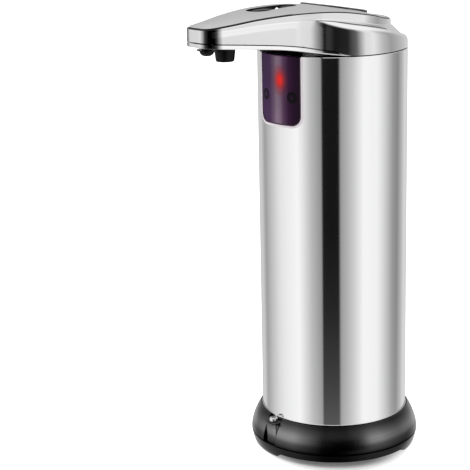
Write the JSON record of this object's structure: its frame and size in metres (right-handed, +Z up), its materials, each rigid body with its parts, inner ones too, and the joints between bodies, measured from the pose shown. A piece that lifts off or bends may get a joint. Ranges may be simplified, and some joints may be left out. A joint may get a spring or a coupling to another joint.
{
  "type": "automatic soap dispenser",
  "caption": "Touch-free liquid soap dispenser: round steel sleeve, chromed head with tapered spout, sensor window, buttons, fill cap, black base.",
  "frame": {"origin": "centre of the whole dispenser's bounding box, on the surface that the foot pads stand on", "axes": "+Z up along the sleeve's axis; the spout points along -Y; +X is to the left of someone facing the sensor window"},
  "size_m": [0.0754, 0.1128, 0.1999],
  "materials": {
    "black_plastic": "satin gloss",
    "black_rubber": "matte",
    "board_green": "solder mask",
    "brass": "machined",
    "cell_wrap": "plain dark wrap",
    "chrome": "bright plated plastic",
    "clear_silicone": "clear soft tube",
    "contact_metal": "nickel plated",
    "led_red": "clear red dome",
    "lens_white": "clear",
    "milky_plastic": "translucent natural plastic",
    "motor_can": "drawn can",
    "polished_steel": "polished, mirror-like",
    "satin_silver": "satin silver coating",
    "screw_steel": "plated",
    "white_acetal": "moulded, slightly glossy",
    "window_tint": "dark tinted, infrared-clear plastic"
  },
  "bodies": {
    "housing": {"amount_switch": "contact_metal", "base_ring": "black_plastic", "base_screw": "screw_steel", "battery_cell_1": "cell_wrap", "battery_cell_2": "cell_wrap", "battery_cell_3": "cell_wrap", "battery_cell_4": "cell_wrap", "battery_holder": "black_plastic", "button_board": "board_green", "button_panel": "black_plastic", "control_board": "board_green", "fill_neck": "milky_plastic", "head_screw_1": "screw_steel", "head_screw_2": "screw_steel", "head_shell": "chrome", "head_top_cover": "satin_silver", "head_underplate": "chrome", "indicator_led": "led_red", "ir_emitter": "black_plastic", "ir_receiver": "black_plastic", "latch_tab": "screw_steel", "motor": "motor_can", "nozzle": "black_rubber", "outer_sleeve": "polished_steel", "outlet_tube": "clear_silicone", "power_switch": "contact_metal", "pump_cover": "white_acetal", "pump_housing": "white_acetal", "sensor_board": "board_green", "sensor_window": "window_tint", "soap_tank": "milky_plastic", "status_lens": "lens_white", "suction_tube": "clear_silicone", "tank_gasket": "black_rubber", "tank_lid": "milky_plastic", "top_contact_1": "contact_metal", "top_contact_2": "contact_metal", "top_frame": "black_plastic", "valve_cup": "black_rubber", "wire_lead": "black_rubber"},
    "battery_door": {"base_cover": "black_plastic", "foot_pad_1": "black_rubber", "foot_pad_2": "black_rubber", "foot_pad_3": "black_rubber", "foot_pad_4": "black_rubber", "door_contact_1": "contact_metal", "door_contact_2": "contact_metal", "contact_spring_1": "contact_metal", "contact_spring_2": "contact_metal"},
    "cap": {"fill_cap": "satin_silver", "cap_seal": "black_rubber"},
    "power_button": {"power_button": "black_plastic"},
    "amount_button": {"amount_button": "black_plastic"},
    "pinion": {"motor_pinion": "brass"},
    "drive": {"reduction_wheel": "white_acetal", "pump_drive_gear": "white_acetal"},
    "idler": {"pump_idler_gear": "white_acetal"}
  },
  "joints": [
    {"name": "battery_door_slide", "type": "slide", "parent": "housing", "child": "battery_door", "axis": [0, 0, -1], "range_m": [0, 0.012]},
    {"name": "cap_pull", "type": "slide", "parent": "housing", "child": "cap", "axis": [0, 0.1819, 0.9833], "range_m": [0, 0.02]},
    {"name": "power_button_press", "type": "slide", "parent": "housing", "child": "power_button", "axis": [0, 0, -1], "range_m": [0, 0.0004], "stiffness_N_per_m": 800},
    {"name": "amount_button_press", "type": "slide", "parent": "housing", "child": "amount_button", "axis": [0, 0, -1], "range_m": [0, 0.0004], "stiffness_N_per_m": 800},
    {"name": "drive_spin", "type": "hinge", "parent": "housing", "child": "drive", "pos_m": [-0.001, -0.00999, 0.18883], "axis": [0, 1, 0], "continuous": true},
    {"name": "pinion_spin", "type": "hinge", "parent": "housing", "child": "pinion", "pos_m": [-0.00659, -0.00999, 0.18883], "axis": [0, 1, 0], "continuous": true},
    {"name": "idler_spin", "type": "hinge", "parent": "housing", "child": "idler", "pos_m": [0.00439, -0.01554, 0.18883], "axis": [0, 1, 0], "continuous": true}
  ],
  "couplings": [
    {"joint": "pinion_spin", "follows": "drive_spin", "ratio": -2.5},
    {"joint": "idler_spin", "follows": "drive_spin", "ratio": -1}
  ]
}
